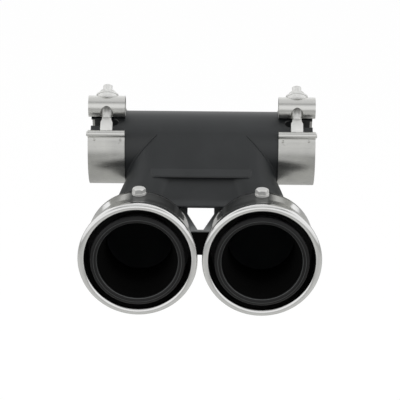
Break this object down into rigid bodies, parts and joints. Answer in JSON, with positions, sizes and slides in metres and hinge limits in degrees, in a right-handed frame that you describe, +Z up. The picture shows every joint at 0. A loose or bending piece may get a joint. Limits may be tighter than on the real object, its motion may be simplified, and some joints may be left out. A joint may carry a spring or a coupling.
{
  "type": "exhaust tip",
  "caption": "Twin-outlet exhaust tip: a black cross pipe with two band clamps feeds a pressed black body and two chrome sleeves with rolled rims",
  "frame": {"origin": "the middle of the cross pipe's axis", "axes": "+X runs along the cross pipe, the outlets open towards -Y, and +Z is up"},
  "size_m": [0.2036, 0.1593, 0.164],
  "materials": {
    "black": "satin",
    "chrome": "polished",
    "steel": "satin"
  },
  "bodies": {
    "root": {"cross_pipe": "black", "upper_shell": "black", "lower_shell": "black", "tie_bracket": "black", "left_outlet_pipe": "black", "right_outlet_pipe": "black", "left_support_ring": "black", "right_support_ring": "black", "left_sleeve": "chrome", "right_sleeve": "chrome", "left_weld_nut": "steel", "right_weld_nut": "steel", "left_washer": "steel", "right_washer": "steel", "left_sleeve_bolt": "steel", "right_sleeve_bolt": "steel", "left_clamp_band": "steel", "right_clamp_band": "steel", "left_trunnion": "steel", "right_trunnion": "steel", "left_clamp_bolt": "steel", "right_clamp_bolt": "steel", "left_clamp_nut": "steel", "right_clamp_nut": "steel"}
  },
  "joints": []
}
